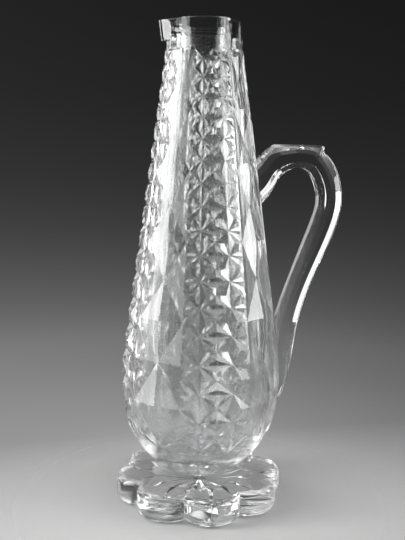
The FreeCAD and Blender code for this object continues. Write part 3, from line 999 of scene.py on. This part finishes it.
@dataclass
class DrawnHandle(Piece):
    """Loop handle with cut facets, a flat crown and a thumb rest."""

    OUTER_CORNERS: ClassVar[tuple[int, ...]] = (3, 4, 5, 6)

    outline: JugOutline = field(default_factory=JugOutline)
    tail: float = 0.062
    span: float = 0.1695
    reach: float = 0.0592
    width: float = 0.013
    flanks: tuple[Span, ...] = ((0.0, 0.40), (0.24, 1.0), (0.64, 1.0))
    shoulder: Span = (0.90, 0.62)
    crown_step: float = 0.06
    arris_round: float = 0.00035
    arris_angle: float = math.radians(14.0)
    arris_steps: int = 2
    levels: int = 3

    def corner_points(self, station: HandleStation) -> list[Vector]:
        """Corners of one section, round from the inner edge and back.

        Args:
            station: Section as shares.

        Returns:
            Ten points.
        """
        ends = []
        for out, up in ((station.inner_out, station.inner_up), (station.outer_out, station.outer_up)):
            height = self.tail + up * self.span
            ends.append(Vector((self.outline.radius(height) + out * self.reach, 0.0, height)))
        inner, outer = ends
        half = self.width * station.width / 2
        deep, wide = self.shoulder
        shares = (*self.flanks, (deep, max(wide, station.crown + self.crown_step)), (1.0, station.crown))
        near = [inner.lerp(outer, depth) + Vector((0.0, half * side, 0.0)) for depth, side in shares]
        return near + [Vector((point.x, -point.y, point.z)) for point in reversed(near)]

    def shape(self, bm: BMesh) -> None:
        """Model the handle: rings bridged along the loop, with creased arrises, then smoothed along it.

        Args:
            bm: Empty mesh.
        """
        cage = bmesh.new()
        crease = cage.edges.layers.float.new("crease_edge")
        rings = []
        for station in HANDLE_STATIONS:
            points = self.corner_points(station)
            outer = [points[corner] for corner in self.OUTER_CORNERS]
            verts = bmesh.ops.create_circle(cage, segments=len(points), radius=self.width)["verts"]
            for vert, point in zip(verts, points):
                vert.co = point
            edges = edges_at(verts)
            for edge in edges:
                edge[crease] = station.edge if all(vert.co in outer for vert in edge.verts) else 0.0
            rings.append(edges)
        for first, second in zip(rings, rings[1:]):
            made = bmesh.ops.bridge_loops(cage, edges=first + second)
            for edge in made["edges"]:
                edge[crease] = 1.0
        for ring in (rings[0], rings[-1]):
            for edge in ring:
                edge[crease] = 1.0
            bmesh.ops.edgeloop_fill(cage, edges=ring)
        bmesh.ops.recalc_face_normals(cage, faces=cage.faces[:])
        absorb(bm, self.smoothed(cage))
        rounded(bm, sharper(bm.edges, self.arris_angle), self.arris_round, self.arris_steps)
        for face in bm.faces:
            face.smooth = True

    def smoothed(self, cage: BMesh) -> BMesh:
        """Smooth a creased cage by subdivision.

        Args:
            cage: Cage to smooth; it is freed.

        Returns:
            The smoothed mesh.
        """
        holder = placed("handle_cage", cage)
        mesh = holder.data
        rounds = holder.modifiers.new("rounds", "SUBSURF")
        rounds.levels = rounds.render_levels = self.levels
        smooth = bmesh.new()
        smooth.from_object(holder, bpy.context.evaluated_depsgraph_get())
        bpy.data.objects.remove(holder)
        bpy.data.meshes.remove(mesh)
        return smooth


@dataclass
class LobedFoot(Piece):
    """Thick foot with a coved hub, a ring of round lobes and a star cut underneath."""

    WELD: ClassVar[int] = 1

    outline: JugOutline = field(default_factory=JugOutline)
    radius: float = 0.055
    hub_radius: float = 0.036
    cove_steps: int = 10
    lobe_count: int = 8
    lobe_radius: float = 0.0193
    lobe_height: float = 0.017
    lobe_edge: float = 0.0045
    lobe_sweep: float = math.radians(110.0)
    lobe_steps: int = 44
    edge_steps: int = 8
    star_count: int = 16
    star_reach: Span = (0.041, 0.0372)
    star_waist: float = 0.025
    star_hub: float = 0.002
    star_depth: float = 0.0035
    star_fill: float = 0.94

    def lobes(self, bm: BMesh) -> None:
        """Turn one lobe's edge, trim it to its share of the ring and repeat it.

        Args:
            bm: Mesh that gets the lobes.
        """
        half = math.pi / self.lobe_count
        edge_x = self.radius - self.lobe_edge
        lobe = bmesh.new()
        profile = TurnedProfile(lobe, edge_x, self.lobe_height)
        profile.arc_to(Vector((edge_x, self.lobe_height - self.lobe_edge)), -math.pi / 2, self.edge_steps)
        profile.line_to(self.radius, self.lobe_edge)
        profile.arc_to(Vector((edge_x, self.lobe_edge)), -math.pi / 2, self.edge_steps)
        centre = Vector((self.radius - self.lobe_radius, 0.0, 0.0))
        start = Matrix.Rotation(-self.lobe_sweep, 3, "Z")
        bmesh.ops.rotate(lobe, verts=lobe.verts[:], cent=centre, matrix=start)
        profile.turn(centre, 2 * self.lobe_sweep, 2 * self.lobe_steps)
        for side in (-1, 1):
            across = Vector((-math.sin(side * half), math.cos(side * half), 0.0)) * side
            bmesh.ops.bisect_plane(lobe, geom=whole(lobe), dist=TRIM, plane_co=Vector(), plane_no=across,
                                   clear_outer=True)
        bmesh.ops.spin(lobe, geom=whole(lobe), cent=Vector(), axis=AXIS, dvec=(0, 0, 0), use_duplicate=True,
                       angle=math.tau - 2 * half, steps=self.lobe_count - 1)
        merged(lobe)
        absorb(bm, lobe)

    def hub(self, bm: BMesh) -> None:
        """Turn the cove up to the waist and fill the flat tops of the lobes round it.

        Args:
            bm: Mesh with the lobes.
        """
        waist, top = self.outline.waist_radius, self.outline.foot_height
        run, rise = self.hub_radius - waist, top - self.lobe_height
        cove = (run ** 2 + rise ** 2) / (2 * rise)
        sweep = math.asin(run / cove)
        profile = TurnedProfile(bm, self.hub_radius, self.lobe_height)
        profile.arc_to(Vector((self.hub_radius, self.lobe_height + cove)), -sweep, self.cove_steps)
        profile.line_to(waist / 2, top).line_to(0.0, top)
        for face in profile.turn(Vector(), math.tau, TURN_STEPS):
            if min(vert.co.z for vert in face.verts) > top - MERGE:
                face.material_index = self.WELD
        merged(bm)
        rings = boundary(bm, lambda vert: abs(vert.co.z - self.lobe_height) < MERGE)
        bmesh.ops.triangle_fill(bm, use_beauty=True, edges=rings)

    def star(self, bm: BMesh) -> None:
        """Cut the star into the underside and fill the land round it.

        Args:
            bm: Mesh with lobes and hub.
        """
        rim = boundary(bm, lambda vert: vert.co.z < MERGE)
        half = self.star_waist * math.tan(math.pi / self.star_count) * self.star_fill
        rays = []
        for ray in range(self.star_count):
            turn = Matrix.Rotation(math.tau * ray / self.star_count, 3, "Z")
            outline = ((self.star_hub, 0.0), (self.star_waist, half), (self.star_reach[ray % 2], 0.0),
                       (self.star_waist, -half))
            rays.append(bm.faces.new([bm.verts.new(turn @ Vector((*point, 0.0))) for point in outline]))
        edges = [edge for ray in rays for edge in ray.edges]
        bmesh.ops.triangle_fill(bm, use_beauty=True, edges=rim + edges)
        keels = bmesh.ops.poke(bm, faces=rays)["verts"]
        for keel in keels:
            keel.co = polar(self.star_waist, azimuth(keel.co), self.star_depth)

    def shape(self, bm: BMesh) -> None:
        """Model the foot: lobes, hub and star.

        Args:
            bm: Empty mesh.
        """
        self.lobes(bm)
        self.hub(bm)
        self.star(bm)
        merged(bm)


class Softbox(Enum):
    """Studio lamps: angle from the camera, elevation, distance, width, height and radiance."""

    KEY = (-83.0, 20.0, 0.63, 0.15, 0.64, 10.0)
    LOW = (-83.0, -14.0, 0.63, 0.15, 0.17, 4.0)
    STRIP = (98.0, 9.0, 0.62, 0.16, 0.32, 7.5)
    LEFT = (-66.0, 18.0, 0.9, 0.24, 0.80, 3.2)
    RIGHT = (72.0, 17.0, 0.9, 0.30, 0.80, 4.5)
    STREAK = (48.0, 17.0, 0.9, 0.08, 0.80, 1.0)
    EDGE = (-125.0, 17.0, 0.8, 0.12, 0.70, 3.2)
    BACK_LEFT = (-142.0, 14.0, 1.6, 1.3, 1.0, 1.1)
    BACK_RIGHT = (152.0, 5.0, 1.3, 0.35, 0.30, 1.8)
    TOP = (0.0, 78.0, 1.5, 1.2, 1.2, 1.0)


@dataclass
class Studio:
    """Camera, lamps, and a pale floor in a graded sweep with a dark backdrop beyond it; the floor, the sweep
    and the backdrop carry painted light falloff.
    """

    lens: float = 49.53
    sensor: float = 36.0
    clip: Span = (0.01, 50.0)
    eye: tuple[float, float, float] = (-0.09520, -0.46789, 0.21107)
    heading: float = 11.57
    tilt: float = 7.25
    roll: float = 0.762
    aim: tuple[float, float, float] = (0.0, 0.0, 0.14)
    camera_azimuth: float = -101.5
    floor_radius: float = 1.6
    floor_sides: int = 128
    floor_drop: float = 0.0002
    floor_roughness: float = 0.55
    floor_specular: float = 0.2
    # painted light falloff: the floor's colour is lighter at the front and darker at the back
    floor_painted_falloff: Span = (0.72, 0.46)
    floor_fade: Span = (0.045, 0.17)
    # painted shadow: where glass looks at the floor it glows, dimmer under the jug and brighter further out
    painted_shadow_glow: Span = (0.28, 0.55)
    painted_shadow_reach: Span = (0.015, 0.15)
    sweep_hole: float = 0.04
    sweep_radius: float = 0.40
    sweep_height: float = 1.0
    sweep_drop: float = 0.002
    cove: float = 0.08
    cove_steps: int = 12
    left_to_right: Span = (-0.3, 0.3)
    # painted light: the sweep glows brighter on the camera's left and dimmer on the right
    painted_side_light: Span = (1.28, 0.72)
    front_to_back: Span = (-0.06, 0.12)
    # painted light: the sweep glows brighter at the front, towards the camera
    painted_front_light: Span = (1.9, 1.0)
    # painted light falloff: the sweep glows brightest on the floor near the jug and dims to near black up
    # the wall
    sweep_painted_falloff: tuple[Span, ...] = (
        (0.05, 0.42), (0.10, 0.31), (0.20, 0.26), (0.30, 0.22), (0.40, 0.18), (0.45, 0.12), (0.50, 0.075),
        (0.55, 0.045), (0.61, 0.028), (0.70, 0.018), (0.85, 0.012))
    sky_span: Span = (-0.6, 0.4)
    # painted light falloff beyond the sweep: grey below, near black overhead
    sky_painted_falloff: tuple[Span, ...] = (
        (-0.50, 0.62), (-0.33, 0.30), (-0.20, 0.13), (-0.08, 0.05), (0.05, 0.026), (0.25, 0.011))
    bounces: int = 24
    glossy_bounces: int = 12

    def camera(self) -> None:
        """Set the camera where the photograph was taken from."""
        data = bpy.data.cameras.new("view")
        data.lens, data.sensor_width = self.lens, self.sensor
        data.clip_start, data.clip_end = self.clip
        camera = bpy.data.objects.new("view", data)
        camera.location = self.eye
        turn = (Matrix.Rotation(math.radians(-self.heading), 4, "Z")
                @ Matrix.Rotation(math.radians(90.0 - self.tilt), 4, "X")
                @ Matrix.Rotation(math.radians(self.roll), 4, "Z"))
        camera.rotation_euler = turn.to_euler()
        bpy.context.scene.collection.objects.link(camera)
        bpy.context.scene.camera = camera

    def lamps(self) -> None:
        """Hang the softboxes round the jug."""
        aim = Vector(self.aim)
        for box in Softbox:
            degrees, elevation, distance, width, height, radiance = box.value
            data = bpy.data.lights.new(f"softbox_{box.name.lower()}", "AREA")
            data.shape = "RECTANGLE"
            data.size, data.size_y = width, height
            data.energy = radiance * math.pi * width * height
            lamp = bpy.data.objects.new(data.name, data)
            away = math.cos(math.radians(elevation)) * distance
            lift = math.sin(math.radians(elevation)) * distance
            lamp.location = aim + polar(away, self.camera_azimuth + degrees, lift)
            lamp.rotation_euler = (aim - lamp.location).to_track_quat("-Z", "Y").to_euler()
            lamp.visible_camera = False
            bpy.context.scene.collection.objects.link(lamp)

    def backdrop(self) -> None:
        """Grade what the camera sees beyond the sweep with painted light falloff, from grey below to near
        black overhead.
        """
        world = bpy.data.worlds.new("backdrop")
        world.use_nodes = True
        graph = Graph(world.node_tree)
        height = graph.add("SeparateXYZ", {"Vector": graph.add("TexCoord")["Generated"]})["Z"]
        # painted light falloff by height
        stops = [(rise - self.sky_span[0], grey(tone)) for rise, tone in self.sky_painted_falloff]
        grade = graph.ramp(graph.span(height, self.sky_span), stops, "B_SPLINE")
        seen = graph.add("LightPath")["Is Camera Ray"]
        graph.feed(world.node_tree.nodes["Background"], {"Color": grade, "Strength": seen})
        bpy.context.scene.world = world

    def sweep(self) -> None:
        """Stand the sweep round the floor, glowing with painted light falloff; the lamps shine through it.
        """
        bm = bmesh.new()
        level, cove_x = -self.sweep_drop, self.sweep_radius - self.cove
        profile = TurnedProfile(bm, self.sweep_hole, level)
        profile.line_to(cove_x, level)
        profile.arc_to(Vector((cove_x, self.cove + level)), math.pi / 2, self.cove_steps)
        profile.line_to(self.sweep_radius, self.sweep_height)
        for face in profile.turn(Vector(), math.tau, TURN_STEPS):
            face.normal_update()
            middle = face.calc_center_median()
            if face.normal.dot(Vector((-middle.x, -middle.y, self.sweep_radius))) < 0.0:
                face.normal_flip()
        sweep = placed("sweep", bm)
        sweep.data.materials.append(self.sweep_material())

    def sweep_material(self) -> Material:
        """Make the sweep's glow, painted light falloff that dims up the wall and is brighter to the camera's
        left and at the front, seen from its inside only.

        Returns:
            The material.
        """
        material = bpy.data.materials.new("painted_light_sweep")
        material.use_nodes = True
        material.cycles.emission_sampling = "NONE"
        nodes = material.node_tree.nodes
        nodes.remove(nodes["Principled BSDF"])
        graph = Graph(material.node_tree)
        place = graph.add("TexCoord")["Object"]
        split = graph.add("SeparateXYZ", {"Vector": place})
        flat = graph.add("VectorMath", {0: place, 1: (1.0, 1.0, 0.0)}, "MULTIPLY")["Vector"]
        reach = graph.add("VectorMath", {0: flat}, "LENGTH")["Value"]
        along = graph.add("Math", {0: reach, 1: split["Z"]}, "ADD")["Value"]
        # painted light falloff along the sweep, from the floor up the wall
        grade = graph.ramp(along, [(run, grey(tone)) for run, tone in self.sweep_painted_falloff], "B_SPLINE")
        # painted side light and front light scale the sweep's glow
        sides = graph.span(split["X"], self.left_to_right, self.painted_side_light)
        front = graph.span(split["Y"], self.front_to_back, self.painted_front_light)
        strength = graph.add("Math", {0: sides, 1: front}, "MULTIPLY")["Value"]
        glow = graph.add("Emission", {"Color": grade, "Strength": strength})["Emission"]
        clear = graph.add("BsdfTransparent")["BSDF"]
        lit = graph.add("AddShader", {0: glow, 1: clear})["Shader"]
        rays = graph.add("LightPath")
        sight = rays["Is Camera Ray"]
        seen = graph.add("MixShader", {"Fac": sight, 1: lit, 2: glow})["Shader"]
        for kind in ("Is Glossy Ray", "Is Transmission Ray"):
            sight = graph.add("Math", {0: sight, 1: rays[kind]}, "MAXIMUM")["Value"]
        outside = graph.add("NewGeometry")["Backfacing"]
        inside = graph.add("Math", {0: sight, 1: outside}, "SUBTRACT")["Value"]
        inside.node.use_clamp = True
        shown = graph.add("MixShader", {"Fac": inside, 1: clear, 2: seen})["Shader"]
        graph.feed(nodes["Material Output"], {"Surface": shown})
        return material

    def floor(self) -> None:
        """Lay the pale floor under the jug."""
        bm = bmesh.new()
        bmesh.ops.create_circle(bm, cap_ends=True, segments=self.floor_sides, radius=self.floor_radius,
                                matrix=Matrix.Translation((0.0, 0.0, -self.floor_drop)))
        floor = placed("floor", bm)
        floor.data.materials.append(self.floor_material())

    def floor_material(self) -> Material:
        """Make the floor's material, whose colour holds painted light falloff, lighter at the front and
        darker at the back; it fades out into the sweep and, where glass looks at it, glows softly with a
        painted shadow under the jug.

        Returns:
            The material.
        """
        material = bpy.data.materials.new("pale_floor")
        material.use_nodes = True
        nodes = material.node_tree.nodes
        graph = Graph(material.node_tree)
        place = graph.add("TexCoord")["Object"]
        reach = graph.add("VectorMath", {0: place}, "LENGTH")["Value"]
        depth = graph.add("SeparateXYZ", {"Vector": place})["Y"]
        painted_falloff_floor = nodes["Principled BSDF"]
        # painted light falloff in the floor's colour, lighter at the front and darker at the back
        graph.feed(painted_falloff_floor, {"Roughness": self.floor_roughness, "Specular IOR Level": self.floor_specular,
                           "Base Color": graph.span(depth, self.front_to_back, self.floor_painted_falloff)})
        # painted shadow: the glow seen through glass is dimmer near the middle under the jug
        painted_shadow_strength = graph.span(reach, self.painted_shadow_reach, self.painted_shadow_glow)
        glow = graph.add("Emission", {"Strength": painted_shadow_strength})["Emission"]
        through = graph.add("LightPath")["Is Transmission Ray"]
        pale = graph.add("MixShader", {"Fac": through, 1: painted_falloff_floor.outputs["BSDF"], 2: glow})["Shader"]
        fade = graph.span(reach, self.floor_fade, blend="SMOOTHSTEP")
        clear = graph.add("BsdfTransparent")["BSDF"]
        faded = graph.add("MixShader", {"Fac": fade, 1: pale, 2: clear})["Shader"]
        graph.feed(nodes["Material Output"], {"Surface": faded})
        return material

    def build(self) -> None:
        """Set up the whole studio."""
        self.camera()
        self.lamps()
        self.backdrop()
        self.floor()
        self.sweep()
        scene = bpy.context.scene
        scene.view_settings.view_transform = "Standard"
        scene.cycles.max_bounces = self.bounces
        scene.cycles.transmission_bounces = self.bounces
        scene.cycles.glossy_bounces = self.glossy_bounces


def main() -> None:
    """Build the jug's pieces and the studio."""
    logging.basicConfig(level=logging.INFO, format="%(name)s %(message)s")
    blown = CrystalFinish("crystal_blown", grain=(2500.0, 2500.0, 2500.0), polish=(0.04, 0.34),
                          polish_span=(0.42, 0.58), ripple=0.0)
    weld = CrystalFinish("crystal_weld", ior=1.0, polish=(0.0, 0.0), ripple=0.0)
    cut = CrystalFinish("crystal_cut", grain=(70.0, 70.0, 50.0))
    drawn = CrystalFinish("crystal_drawn", grain=(160.0, 160.0, 18.0))
    fire_polished = CrystalFinish("crystal_fire_polished", grain=(45.0, 45.0, 45.0), wear_height=0.0006)
    pieces = (
        CutBody(Node.BODY, cut, (blown, weld)),
        DrawnHandle(Node.HANDLE, drawn),
        LobedFoot(Node.FOOT, fire_polished, (weld,)),
    )
    for piece in pieces:
        piece.build()
    Studio().build()


if __name__ == "__main__":
    main()
